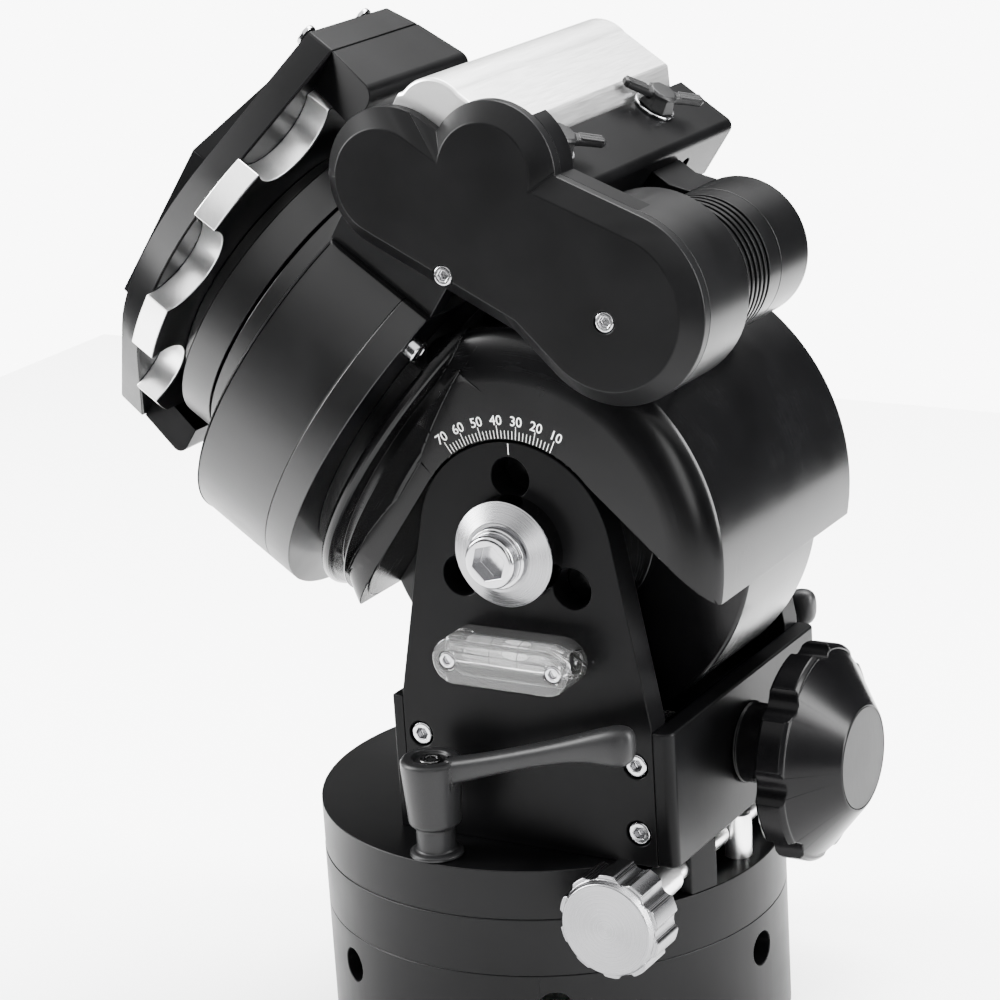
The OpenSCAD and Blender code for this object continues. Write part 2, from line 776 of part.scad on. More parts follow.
module motor_bracket() {
    t = 3.2;
    color(BLACK) on_axis() difference() {
        union() {
            translate([bracket_m - t, bracket_y[0], bracket_q + 4]) cube([t, bracket_l, 25.9]);
            translate([122, bracket_y[0], bracket_q]) cube([bracket_m - 4 - 122, bracket_l, t]);
            translate([bracket_m - 4, bracket_y[0], bracket_q + 4]) rotate([-90, 0, 0]) difference() {
                cylinder(h = bracket_l, r = 4);
                translate([0, 0, -1]) cylinder(h = 150, r = 0.8);
                translate([-10, -10, -1]) cube([10, 20, 150]);
                translate([-10, -10, -1]) cube([20, 10, 150]);
            }
        }
        for (y = knob_ys)
            translate([bracket_m - 10, y, knob_q]) rotate([0, 90, 0]) cylinder(h = 20, r = 3.3);
        translate([135.5, 41, bracket_q - 5]) cylinder(h = 20, r = 3.5);
    }
}

module wing_knob(y) {
    color(BLACK) on_axis() translate([bracket_m + 1.8, y, knob_q]) rotate([0, 90, 0]) {
        translate([0, 0, -16]) cylinder(h = 17, r = 3);
        cylinder(h = 6.5, r1 = 8.5, r2 = 7);
        translate([0, 0, 6.5 - eps]) cylinder(h = 1.5, r1 = 7, r2 = 5.5);
        rotate([0, 0, 38]) for (s = [-1, 1])
            hull() {
                translate([0, s * 5, 2.4]) cylinder(h = 4.4, r = 3.2, $fn = 24);
                translate([0, s * 17, 5]) cylinder(h = 4, r = 2.8, $fn = 24);
            }
    }
}

module wing_knob_near() wing_knob(knob_ys[0]);

module wing_knob_far() wing_knob(knob_ys[1]);

module wing_washers() {
    color(SILVER) on_axis() for (y = knob_ys)
        translate([bracket_m, y, knob_q]) rotate([0, 90, 0]) ring(1.5, 9.2, 3.4);
}

// ---- polar hub and saddle ----------------------------------------------
module polar_hub() {
    color(BLACK) on_axis() difference() {
        union() {
            translate([0, 0, q_hub - 0.8]) cylinder(h = q_circle - q_hub + 3, r = 66);
            translate([0, 0, q_circle + 1.4]) cylinder(h = 16, r = 75.4, $fn = 180);
            translate([0, 0, q_circle + 17.4 - eps]) cylinder(h = 2, r1 = 75.4, r2 = 66, $fn = 180);
            translate([0, 0, q_circle + 19]) cylinder(h = q_disc - q_circle - 19, r = 64, $fn = 180);
        }
        translate([0, 0, q_hub - 5]) cylinder(h = 80, r = shaft_r);
    }
}

module setting_circle() {
    color(DARK) on_axis() translate([0, 0, q_hub]) ring(q_circle - q_hub, 76, 66 + run_gap);
}

disc_r = 91;
disc_m = 10;
scallop_r = 21;
scallop_angles = [37.5, 82.5, 127.5];

module saddle_disc() {
    color(SILVER) on_axis() translate([disc_m, 0, q_disc]) difference() {
        cylinder(h = q_plate - q_disc, r = disc_r, $fn = 180);
        on_both_sides() for (a = scallop_angles)
            rotate([0, 0, -a]) translate([disc_r, 0, -1]) cylinder(h = 20, r = scallop_r);
        translate([-250 - 80, -150, -1]) cube([250, 300, 40]);
        translate([85, -150, -1]) cube([250, 300, 40]);
    }
}

module slab(z, r, top, bottom, half_top, half_bottom) {
    translate([0, 0, z]) linear_extrude(0.5) hull() {
        translate([disc_m, 0]) circle(r = r, $fn = 64);
        translate([top - 1, -half_top]) square([1, 2 * half_top]);
        translate([bottom, -half_bottom]) square([1, 2 * half_bottom]);
    }
}

module saddle_plate() {
    color(BLACK) on_axis() hull() {
        slab(q_plate, 86, 114.4, -86, 34.4, 36);
        slab(q_front - 0.5, 80.5, 113, -87, 31, 33);
    }
}

module end_block(low, high) {
    intersection() {
        sideways(60, 120) union() {
            polygon([[low, 158.5], [high - 6, 158.5], [high, 164.5], [high, q_plate], [low, q_plate]]);
            translate([high - 6, 164.5]) circle(r = 6);
        }
        translate([low - 20, 0, 0]) rotate([0, 90, 0]) linear_extrude(high - low + 40)
            polygon([[-158, -41], [-186, -34.4], [-186, 34.4], [-158, 41]]);
    }
}

module saddle_end_blocks() {
    color(BLACK) on_axis() difference() {
        union() {
            end_block(95.2, 114.4);
            mirror([1, 0, 0]) end_block(70.2, 86);
        }
        translate([0, 0, q_circle]) cylinder(h = 19.6, r = 75.8, $fn = 180);
    }
}

module saddle_screws() {
    color(STEEL) on_axis() for (p = [[106, -22], [106, 22], [-79, -22], [-79, 22]])
        translate([p[0], p[1], q_front + 3]) cylinder(h = 2, r = 4.8);
}

dec_half = 55;

module declination_plate() {
    cut = 38;
    tall = 66;
    color(BLACK) on_axis() translate([disc_m, 0, q_front]) difference() {
        linear_extrude(q_dec - q_front) polygon([[tall, -dec_half + cut], [tall - cut + 10, -dec_half],
            [-tall + cut - 10, -dec_half], [-tall, -dec_half + cut], [-tall, dec_half - cut],
            [-tall + cut - 10, dec_half], [tall - cut + 10, dec_half], [tall, dec_half - cut]]);
        for (a = [45, 135, 225, 315])
            rotate([0, 0, a]) translate([40, 0, -1]) cylinder(h = 20, r = 3.3);
    }
}

// ---- assembly -----------------------------------------------------------
pier_adapter();
adapter_screws();
azimuth_ring();
azimuth_peg();
thrust_bearing();
azimuth_pivot_bolt();
azimuth_base();
side_plate_near();
side_plate_far();
side_plate_screws();
front_block();
rear_brace();
pivot_bolts();
pivot_spacers();
pivot_thrust_washers();
level_block();
level_vial();
level_screws();
altitude_worm_bushes();
azimuth_screw_near();
azimuth_screw_far();
azimuth_knob_near();
azimuth_knob_far();
lock_lever_near();
lock_lever_far();
altitude_knob();
altitude_worm();
polar_body();
ring_flange();
flange_screws();
wheel_housing();
polar_bearings();
polar_shaft();
worm_wheel();
worm_block();
polar_worm();
worm_bearings();
worm_gear();
idler_gear();
small_idler();
motor_pinion();
gear_posts();
gear_case();
gear_cover();
gear_cover_screws();
motor();
motor_cap();
motor_arm();
motor_bracket();
wing_knob_near();
wing_knob_far();
wing_washers();
polar_hub();
setting_circle();
saddle_disc();
saddle_plate();
saddle_end_blocks();
saddle_screws();
declination_plate();
shaft_nut();
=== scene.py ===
import json
import math
import bmesh
import bpy
from mathutils import Matrix, Vector


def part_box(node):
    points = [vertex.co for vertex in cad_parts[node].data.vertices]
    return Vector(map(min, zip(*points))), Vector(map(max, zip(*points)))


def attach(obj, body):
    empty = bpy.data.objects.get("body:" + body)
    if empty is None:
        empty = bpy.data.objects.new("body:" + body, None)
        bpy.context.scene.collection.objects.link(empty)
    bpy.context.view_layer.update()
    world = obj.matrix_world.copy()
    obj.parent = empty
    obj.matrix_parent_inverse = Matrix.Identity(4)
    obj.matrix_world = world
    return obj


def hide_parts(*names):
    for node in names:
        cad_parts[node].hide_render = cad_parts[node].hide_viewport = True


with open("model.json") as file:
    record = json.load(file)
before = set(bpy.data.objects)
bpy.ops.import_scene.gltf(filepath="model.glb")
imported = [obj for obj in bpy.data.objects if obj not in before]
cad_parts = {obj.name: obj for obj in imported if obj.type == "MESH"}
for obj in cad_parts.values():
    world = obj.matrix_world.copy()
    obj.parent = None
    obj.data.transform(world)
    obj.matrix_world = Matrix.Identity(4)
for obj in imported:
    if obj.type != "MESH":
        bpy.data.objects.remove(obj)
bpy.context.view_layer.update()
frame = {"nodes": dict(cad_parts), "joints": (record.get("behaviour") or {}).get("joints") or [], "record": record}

MM = 0.001
RECORD = frame["record"]
BODIES = RECORD["behaviour"]["bodies"]
BODY_OF = {node: body for body, nodes in BODIES.items() for node in nodes}
SLOT_OF = {part["node"]: part["material_slot"] for part in RECORD["subparts"]}
JOINTS = {joint["name"]: joint for joint in frame["joints"]}
LATITUDE = 34.4

# The altitude pivot, and the polar axis that passes a little below it
PIVOT = Vector(JOINTS["altitude"]["pos_m"])
POLAR_POINT = Vector(JOINTS["polar_spin"]["pos_m"])
POLAR = Vector(JOINTS["polar_spin"]["axis"]).normalized()
UPWARD = Vector((0, 1, 0)).cross(POLAR)


def on_axis(distance, y, station):
    """A point given as its height over the polar axis, Y, and its station along the axis, in mm."""
    return POLAR_POINT + UPWARD * distance * MM + Vector((0, y * MM, 0)) + POLAR * station * MM


# ---- camera, floor and light ------------------------------------------------
def add_camera():
    azimuth, elevation, roll = (math.radians(a) for a in (30.452, 17.254, -3.577))
    distance, target = 1.38366, Vector((-0.01757, 0, 0.23337))
    look = Vector((-math.sin(azimuth) * math.cos(elevation), math.cos(azimuth) * math.cos(elevation),
                   -math.sin(elevation)))
    right = Vector((math.cos(azimuth), math.sin(azimuth), 0))
    up = right.cross(look)
    tilted_right = right * math.cos(roll) + up * math.sin(roll)
    tilted_up = up * math.cos(roll) - right * math.sin(roll)
    data = bpy.data.cameras.new("camera")
    data.lens = 115.526
    data.sensor_width = 36
    data.clip_end = 50
    camera = bpy.data.objects.new("camera", data)
    turn = Matrix((tilted_right, tilted_up, -look)).transposed().to_4x4()
    camera.matrix_world = Matrix.Translation(target - look * distance) @ turn
    bpy.context.collection.objects.link(camera)
    bpy.context.scene.camera = camera


def add_softbox(name, place, aim, width, height, power):
    data = bpy.data.lights.new(name, "AREA")
    data.shape = "RECTANGLE"
    data.size = width
    data.size_y = height
    data.energy = power
    light = bpy.data.objects.new(name, data)
    light.location = place
    light.rotation_euler = (Vector(aim) - Vector(place)).to_track_quat("-Z", "Y").to_euler()
    bpy.context.collection.objects.link(light)


def add_studio():
    back, front = 0.95, -0.95
    mesh = bpy.data.meshes.new("floor")
    mesh.from_pydata([(-back, front, -MM), (back, front, -MM), (back, back, -MM), (-back, back, -MM)], [],
                     [(0, 1, 2, 3)])
    floor = bpy.data.objects.new("floor", mesh)
    bpy.context.collection.objects.link(floor)
    paper = bpy.data.materials.new("paper")
    paper.use_nodes = True
    shader = paper.node_tree.nodes["Principled BSDF"]
    shader.inputs["Base Color"].default_value = (0.95, 0.95, 0.95, 1)
    shader.inputs["Roughness"].default_value = 0.9
    shader.inputs["Specular IOR Level"].default_value = 0.1
    mesh.materials.append(paper)

    world = bpy.data.worlds.new("studio")
    bpy.context.scene.world = world
    world.use_nodes = True
    nodes, links = world.node_tree.nodes, world.node_tree.links
    nodes.clear()
    output = nodes.new("ShaderNodeOutputWorld")
    mix = nodes.new("ShaderNodeMixShader")
    path = nodes.new("ShaderNodeLightPath")
    seen = nodes.new("ShaderNodeBackground")
    seen.inputs["Color"].default_value = (1, 1, 1, 1)
    seen.inputs["Strength"].default_value = 9.0
    room = nodes.new("ShaderNodeBackground")
    room.inputs["Color"].default_value = (1, 1, 1, 1)
    room.inputs["Strength"].default_value = 0.08
    links.new(path.outputs["Is Camera Ray"], mix.inputs[0])
    links.new(room.outputs[0], mix.inputs[1])
    links.new(seen.outputs[0], mix.inputs[2])
    links.new(mix.outputs[0], output.inputs["Surface"])

    middle = (0, 0, 0.25)
    add_softbox("left_box", (-1.6, -0.7, 1.0), middle, 0.7, 1.3, 170)
    add_softbox("top_box", (0.1, 0.7, 1.8), middle, 1.4, 0.9, 130)
    add_softbox("right_box", (1.6, 0.35, 0.75), middle, 0.4, 1.4, 130)
    add_softbox("front_box", (0.9, -1.9, 0.55), middle, 0.5, 0.9, 20)
    overhead = bpy.data.lights.new("overhead", "SUN")
    overhead.energy = 9.0
    overhead.angle = math.radians(120)
    sky = bpy.data.objects.new("overhead", overhead)
    bpy.context.collection.objects.link(sky)


# ---- materials --------------------------------------------------------------
class Shader:
    """A material with a Principled shader and helpers that add nodes to it."""

    def __init__(self, name, color, metallic, roughness, specular=0.5):
        self.material = bpy.data.materials.new(name)
        self.material.use_nodes = True
        self.nodes = self.material.node_tree.nodes
        self.links = self.material.node_tree.links
        self.bsdf = self.nodes["Principled BSDF"]
        self.bsdf.inputs["Base Color"].default_value = (*color, 1)
        self.bsdf.inputs["Metallic"].default_value = metallic
        self.bsdf.inputs["Roughness"].default_value = roughness
        self.bsdf.inputs["Specular IOR Level"].default_value = specular
        self.coords = self.nodes.new("ShaderNodeTexCoord").outputs["Object"]

    def math(self, operation, a, b=0.0):
        node = self.nodes.new("ShaderNodeMath")
        node.operation = operation
        for socket, value in zip(node.inputs, (a, b)):
            if isinstance(value, (int, float)):
                socket.default_value = value
            else:
                self.links.new(value, socket)
        return node.outputs[0]

    def vector(self, operation, a, b):
        node = self.nodes.new("ShaderNodeVectorMath")
        node.operation = operation
        for socket, value in zip(node.inputs, (a, b)):
            if isinstance(value, (Vector, tuple)):
                socket.default_value = value
            else:
                self.links.new(value, socket)
        return node.outputs["Value" if operation in ("DOT_PRODUCT", "LENGTH") else "Vector"]

    def noise(self, vector, scale, detail=3, roughness=0.5):
        node = self.nodes.new("ShaderNodeTexNoise")
        node.inputs["Scale"].default_value = scale
        node.inputs["Detail"].default_value = detail
        node.inputs["Roughness"].default_value = roughness
        self.links.new(vector, node.inputs["Vector"])
        return node.outputs["Fac"]

    def spread(self, value, low, high):
        node = self.nodes.new("ShaderNodeMapRange")
        node.inputs["From Min"].default_value = 0.3
        node.inputs["From Max"].default_value = 0.7
        node.inputs["To Min"].default_value = low
        node.inputs["To Max"].default_value = high
        self.links.new(value, node.inputs["Value"])
        return node.outputs["Result"]

    def tint(self, value, dark, light):
        node = self.nodes.new("ShaderNodeValToRGB")
        node.color_ramp.elements[0].position = 0.3
        node.color_ramp.elements[0].color = (*dark, 1)
        node.color_ramp.elements[1].position = 0.7
        node.color_ramp.elements[1].color = (*light, 1)
        self.links.new(value, node.inputs["Fac"])
        self.links.new(node.outputs["Color"], self.bsdf.inputs["Base Color"])

    def rough(self, value, low, high):
        self.links.new(self.spread(value, low, high), self.bsdf.inputs["Roughness"])

    def bump(self, height, distance, strength=1.0):
        node = self.nodes.new("ShaderNodeBump")
        node.inputs["Strength"].default_value = strength
        node.inputs["Distance"].default_value = distance
        self.links.new(height, node.inputs["Height"])
        self.links.new(node.outputs["Normal"], self.bsdf.inputs["Normal"])

    def stretched(self, squeeze):
        """Object coordinates scaled per axis, so that noise runs in streaks."""
        return self.vector("MULTIPLY", self.coords, squeeze)

    def along(self, direction):
        """Distance along a direction, as a vector that 3D noise can read."""
        length = self.vector("DOT_PRODUCT", self.coords, Vector(direction))
        node = self.nodes.new("ShaderNodeCombineXYZ")
        self.links.new(length, node.inputs["X"])
        return node.outputs[0]

    def turned(self, point, direction, strength):
        """Draws highlights out across lathe marks that run round an axis."""
        self.bsdf.inputs["Anisotropic"].default_value = strength
        around = self.vector("CROSS_PRODUCT", self.vector("SUBTRACT", self.coords, Vector(point)),
                             Vector(direction))
        turn = self.nodes.new("ShaderNodeVectorTransform")
        turn.vector_type = "VECTOR"
        turn.convert_from = "OBJECT"
        turn.convert_to = "WORLD"
        self.links.new(around, turn.inputs[0])
        self.links.new(turn.outputs[0], self.bsdf.inputs["Tangent"])

    def radius(self, point, direction):
        """Distance from an axis, as a vector that 3D noise can read."""
        arm = self.vector("CROSS_PRODUCT", self.vector("SUBTRACT", self.coords, Vector(point)),
                          Vector(direction))
        node = self.nodes.new("ShaderNodeCombineXYZ")
        self.links.new(self.vector("LENGTH", arm, (0, 0, 0)), node.inputs["X"])
        return node.outputs[0]


def black_anodised(name, marks=None, roughness=(0.26, 0.36), specular=0.1, centre=None):
    """Black anodised aluminium. marks is the axis of its lathe marks, and centre a point on that axis."""
    shader = Shader(name, (0.0015, 0.0015, 0.0016), 0.0, 0.3, specular)
    cloud = shader.noise(shader.coords, 35, 4)
    shader.tint(cloud, (0.001, 0.001, 0.0011), (0.002, 0.002, 0.0022))
    streaks = shader.along(marks) if marks else shader.stretched((400, 400, 30))
    fine = shader.noise(streaks, 2600 if marks else 4, 4, 0.7)
    shader.rough(shader.math("MULTIPLY", shader.math("ADD", cloud, fine), 0.5), *roughness)
    if centre:
        shader.turned(centre, marks, 0.75)
    return shader.material


def bare_aluminium(name, squeeze=(900, 900, 60), bright=0.86, roughness=(0.29, 0.32)):
    shader = Shader(name, (bright, bright, bright), 1.0, 0.3)
    streaks = shader.noise(shader.stretched(squeeze), 1, 3, 0.5)
    shader.tint(streaks, (bright * 0.95,) * 3, (bright,) * 3)
    shader.rough(streaks, *roughness)
    return shader.material


def spun_aluminium(name, point, direction):
    """Turned face: fine rings about an axis."""
    shader = Shader(name, (0.17, 0.17, 0.175), 1.0, 0.3)
    rings = shader.noise(shader.radius(point, direction), 2500, 3, 0.7)
    shader.tint(rings, (0.12, 0.12, 0.125), (0.21, 0.21, 0.215))
    shader.rough(rings, 0.2, 0.32)
    shader.turned(point, direction, 0.8)
    return shader.material


def steel(name, color=(0.34, 0.34, 0.35), roughness=(0.14, 0.26)):
    shader = Shader(name, color, 1.0, 0.2)
    cloud = shader.noise(shader.coords, 900, 4)
    shader.tint(cloud, tuple(c * 0.85 for c in color), color)
    shader.rough(cloud, *roughness)
    shader.bump(cloud, 0.000008)
    return shader.material


def black_plastic(name):
    shader = Shader(name, (0.008, 0.008, 0.009), 0.0, 0.4, 0.14)
    grain = shader.noise(shader.coords, 2500, 2)
    shader.tint(grain, (0.004, 0.004, 0.0042), (0.008, 0.008, 0.0084))
    shader.rough(grain, 0.34, 0.48)
    shader.bump(grain, 0.00003)
    return shader.material


def clear_acrylic(name, index=1.38, clear=0.97):
    shader = Shader(name, (1, 1, 1), 0.0, 0.03, 0.15)
    shader.bsdf.inputs["Transmission Weight"].default_value = clear
    shader.bsdf.inputs["IOR"].default_value = index
    haze = shader.noise(shader.coords, 300, 3)
    shader.rough(haze, 0.0, 0.015)
    return shader.material


def white_fill(name):
    shader = Shader(name, (0.85, 0.85, 0.84), 0.0, 0.6)
    grain = shader.noise(shader.coords, 3000, 3)
    shader.tint(grain, (0.74, 0.74, 0.73), (0.88, 0.88, 0.87))
    shader.rough(grain, 0.5, 0.7)
    return shader.material


X_AXIS, Y_AXIS, Z_AXIS = (1, 0, 0), (0, 1, 0), (0, 0, 1)
MATERIALS = {
    "turned_polar": black_anodised("black_turned_polar", POLAR, (0.28, 0.4), 0.28, POLAR_POINT),
    "turned_azimuth": black_anodised("black_turned_azimuth", Z_AXIS, (0.28, 0.4), 0.075, (0, 0, 0)),
    "turned_knob": black_anodised("black_turned_knob", X_AXIS, (0.2, 0.26), 0.07),
    "knob_face": black_anodised("black_faced", None, (0.5, 0.6), 0.26),
    "milled": black_anodised("black_milled", None, (0.3, 0.4), 0.05),
    "body": black_anodised("black_body", Y_AXIS, (0.2, 0.3), 0.12),
    "cover": black_anodised("black_cover", None, (0.34, 0.44), 0.07),
    "motor": black_anodised("black_turned_motor", Y_AXIS, (0.26, 0.36), 0.12),
    "aluminium": bare_aluminium("bare_aluminium"),
    "block": bare_aluminium("brushed_block", (2600, 60, 2600), 0.6, (0.34, 0.44)),
    "spun": spun_aluminium("spun_knob", JOINTS["near_knob_turn"]["pos_m"], Y_AXIS),
    "pivot_spun": spun_aluminium("spun_spacer", PIVOT, Y_AXIS),
    "steel": steel("screw_steel"),
    "ground": steel("ground_steel", (0.5, 0.5, 0.51), (0.2, 0.34)),
    "brass": steel("machined_brass", (0.72, 0.53, 0.24), (0.2, 0.35)),
    "plastic": black_plastic("black_plastic"),
    "acrylic": clear_acrylic("clear_acrylic"),
    "liquid": clear_acrylic("vial_liquid", 1.3, 0.9),
    "bubble": clear_acrylic("vial_bubble", 1.1, 0.2),
    "dark_steel": steel("blackened_steel", (0.06, 0.06, 0.06), (0.2, 0.35)),
    "white": white_fill("engraving_fill"),
}

LOOK = {"black_anodised": "milled", "black_motor": "motor", "circle_black": "turned_polar",
        "bare_aluminium": "aluminium", "stainless": "steel", "bearing_steel": "ground", "brass": "brass",
        "black_plastic": "plastic", "clear_acrylic": "acrylic", "vial_glass": "acrylic"}
SPECIAL_LOOK = {"pier_adapter": "turned_azimuth", "azimuth_ring": "turned_azimuth",
                "azimuth_base": "turned_azimuth", "ring_flange": "turned_polar",
                "wheel_housing": "turned_polar", "polar_hub": "turned_polar", "polar_body": "body",
                "motor_cap": "motor", "gear_case": "motor", "altitude_knob": "turned_knob",
                "worm_block": "block", "azimuth_knob_near": "spun", "azimuth_knob_far": "spun",
                "pivot_spacers": "pivot_spun"}


# ---- pieces -----------------------------------------------------------------
def link(name, mesh):
    piece = bpy.data.objects.new(name, mesh)
    bpy.context.collection.objects.link(piece)
    return piece


def finish_piece(piece, body, material, replaced=()):
    piece.data.materials.clear()
    piece.data.materials.append(MATERIALS[material])
    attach(piece, body)
    if replaced:
        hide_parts(*replaced)
    return piece


def cleaned_copy(node):
    """A copy of a CAD node's mesh with its corners welded and its flat faces joined."""
    mesh = frame["nodes"][node].data.copy()
    if "custom_normal" in mesh.attributes:
        mesh.attributes.remove(mesh.attributes["custom_normal"])
    work = bmesh.new()
    work.from_mesh(mesh)
    bmesh.ops.remove_doubles(work, verts=work.verts, dist=0.01 * MM)
    bmesh.ops.dissolve_limit(work, angle_limit=math.radians(0.4), verts=work.verts, edges=work.edges)
    work.to_mesh(mesh)
    work.free()
    return mesh


def soften(node, width):
    """Stands for a CAD node with its sharp edges broken by a small bevel."""
    piece = link(node + "_shape", cleaned_copy(node))
    break_edges(piece, width)
    look = SPECIAL_LOOK.get(node, LOOK[SLOT_OF[node]])
    return finish_piece(piece, BODY_OF[node], look, (node,))


def break_edges(piece, width, segments=2, angle=32, crease=None):
    """A small round on every edge sharper than the angle, with flat faces kept flat in the shading."""
    for face in piece.data.polygons:
        face.use_smooth = True
    piece.data.set_sharp_from_angle(angle=math.radians(crease or angle))
    bevel = piece.modifiers.new("edges", "BEVEL")
    bevel.width = width * MM
    bevel.segments = segments
    bevel.limit_method = "ANGLE"
    bevel.angle_limit = math.radians(angle)
    bevel.use_clamp_overlap = False
    normals = piece.modifiers.new("normals", "WEIGHTED_NORMAL")
    normals.keep_sharp = True
    normals.weight = 100
    return piece


# ---- mesh helpers in the altitude pivot's frame and on the polar axis -------
def frame_matrix(point, x_dir, z_dir):
    """Local X and Z run along the two directions given; Y completes them."""
    z = Vector(z_dir).normalized()
    x = Vector(x_dir).normalized()
    y = z.cross(x)
    turn = Matrix((x, y, z)).transposed().to_4x4()
    return Matrix.Translation(Vector(point)) @ turn


POLAR_FRAME = frame_matrix(POLAR_POINT, UPWARD, POLAR)
# Local Z points out of the near side plate, X to the right and Y up
NEAR_FACE = frame_matrix(PIVOT, X_AXIS, (0, -1, 0))


def closed_piece(name, work):
    """Makes an object of a closed bmesh, with every face looking outwards."""
    bmesh.ops.recalc_face_normals(work, faces=work.faces)
    if work.calc_volume(signed=True) < 0:
        bmesh.ops.reverse_faces(work, faces=work.faces)
    mesh = bpy.data.meshes.new(name)
    work.to_mesh(mesh)
    work.free()
    return link(name, mesh)


def revolve(name, profile, place, segments=192):
    """Closed solid of revolution about local Z from (radius, height) points in mm."""
    work = bmesh.new()
    rings = []
    for radius, height in profile:
        if radius < 1e-6:
            rings.append([work.verts.new(place @ Vector((0, 0, height * MM)))])
            continue
        ring = []
        for i in range(segments):
            a = 2 * math.pi * i / segments
            ring.append(work.verts.new(place @ Vector((radius * math.cos(a) * MM, radius * math.sin(a) * MM,
                                                       height * MM))))
        rings.append(ring)
    for low, high in zip(rings, rings[1:] + rings[:1]):
        if len(low) == 1 and len(high) == 1:
            continue
        for i in range(segments):
            j = (i + 1) % segments
            if len(low) == 1:
                work.faces.new((low[0], high[j], high[i]))
            elif len(high) == 1:
                work.faces.new((low[i], low[j], high[0]))
            else:
                work.faces.new((low[i], low[j], high[j], high[i]))
    return closed_piece(name, work)


def prism(name, outline, place, low, high):
    """Closed solid from an (x, y) outline in mm, between two heights along local Z."""
    work = bmesh.new()
    floors = [[work.verts.new(place @ Vector((x * MM, y * MM, h * MM))) for x, y in outline]
              for h in (low, high)]
    work.faces.new(floors[0])
    work.faces.new(floors[1])
    for i in range(len(outline)):
        j = (i + 1) % len(outline)
        work.faces.new((floors[0][i], floors[0][j], floors[1][j], floors[1][i]))
    return closed_piece(name, work)


def combine(base, tool, operation):
    """Joins, cuts or intersects base with tool, and removes tool."""
    modifier = base.modifiers.new("cut", "BOOLEAN")
    modifier.operation = operation
    modifier.solver = "EXACT"
    modifier.object = tool
    apply_modifiers(base)
    bpy.data.objects.remove(tool)
    return base


def apply_modifiers(piece):
    graph = bpy.context.evaluated_depsgraph_get()
    graph.update()
    mesh = bpy.data.meshes.new_from_object(piece.evaluated_get(graph))
    piece.modifiers.clear()
    piece.data = mesh


def arc(centre, radius, start, end, steps):
    """Points of a circular arc, or of an elliptical one if radius is a pair. Angles in degrees."""
    rx, ry = radius if isinstance(radius, tuple) else (radius, radius)
    points = []
    for i in range(steps + 1):
        a = math.radians(start + (end - start) * i / steps)
        points.append((centre[0] + rx * math.cos(a), centre[1] + ry * math.sin(a)))
    return points


# An outline that holds any section across the polar axis, and the station where the saddle disc turns bright
WIDE_BOX = [(-150, -120), (150, -120), (150, 120), (-150, 120)]
SADDLE_SEAM = 174.5


# ---- polar body -------------------------------------------------------------
FORK_HALF = 71.0
BODY_HALF = 70.7
BACK_RADIUS = 90.0
RIM_HALF = 62.0
SHOULDER_RADIUS = 69.0


def add_polar_body():
    side_frame = frame_matrix(PIVOT, UPWARD, (0, -1, 0))
    curve = (BACK_RADIUS - SHOULDER_RADIUS, BODY_HALF - RIM_HALF + 1.5)
    shoulder = arc((SHOULDER_RADIUS, RIM_HALF - 1.5), curve, 90, 8, 16)
    half = [(0, BODY_HALF)] + shoulder
    dome = revolve("polar_body_shape", half + [(r, -y) for r, y in reversed(half)], side_frame, 256)
    fork_space = [(0, 45.6), (-130, 47), (-130, -130), (31.5, -130), (36, -77), (44.2, -8), (1.1, 1.3)]
    combine(dome, prism("space", fork_space, side_frame, -100, 100), "DIFFERENCE")

    # Front housing: round on top, flat sides, flat bottom with rounded corners
    radius, side, floor, corner = 89.4, BODY_HALF - 0.05, -68, 25
    top_angle = math.degrees(math.asin(side / radius))
    right = arc((0, 0), radius, 0, top_angle, 14) + arc((floor + corner, side - corner), corner, 90, 180, 8)
    section = right + [(m, -y) for m, y in reversed(right)][:-1]
    housing = prism("housing", section, POLAR_FRAME, 46, 57)
    shell = prism("upper_shell", [(m * 0.995, y * 0.995) for m, y in section if m > 53], POLAR_FRAME, 1.5, 50)
    flare = arc((89.4, 53), (18, 5.2), 180, 90, 10)
    profile = [(0, 52.8), *flare, (89.4, 58.5), (88.8, 59), (84, 59), (84, 64),
               *arc((88.9, 67.1), (3.5, 3.1), -90, 90, 10), (83, 70.2), (83, 78.7), (0, 78.7)]
    barrel = revolve("barrel", profile, POLAR_FRAME, 256)
    combine(barrel, housing, "UNION")
    combine(dome, shell, "UNION")
    combine(dome, barrel, "UNION")
    keel = [(0, -33), (87, -33), (88, -32), (88, 32), (87, 33), (0, 33)]
    combine(dome, revolve("keel", keel, side_frame, 256), "UNION")
    level = frame_matrix(POLAR_POINT, UPWARD, POLAR)
    combine(dome, prism("front", WIDE_BOX, level, 78.75, 130), "DIFFERENCE")
    combine(dome, revolve("boss", [(0, -57.5), (44, -57.5), (44, 57.5), (0, 57.5)], side_frame, 128), "UNION")
    for sign in (-1, 1):
        pocket = [(0, sign * 57.9), (45.4, sign * 57.9), (45.4, sign * 80), (0, sign * 80)]
        combine(dome, revolve("pocket", pocket, side_frame, 192), "DIFFERENCE")
    break_edges(dome, 0.4, 2, 35, 14)
    finish_piece(dome, "polar_housing", "body", ("polar_body",))


# ---- turned pieces ----------------------------------------------------------
def hexagon(radius):
    angles = [math.radians(a) for a in range(15, 360, 60)]
    return [(radius * math.cos(a), radius * math.sin(a)) for a in angles]


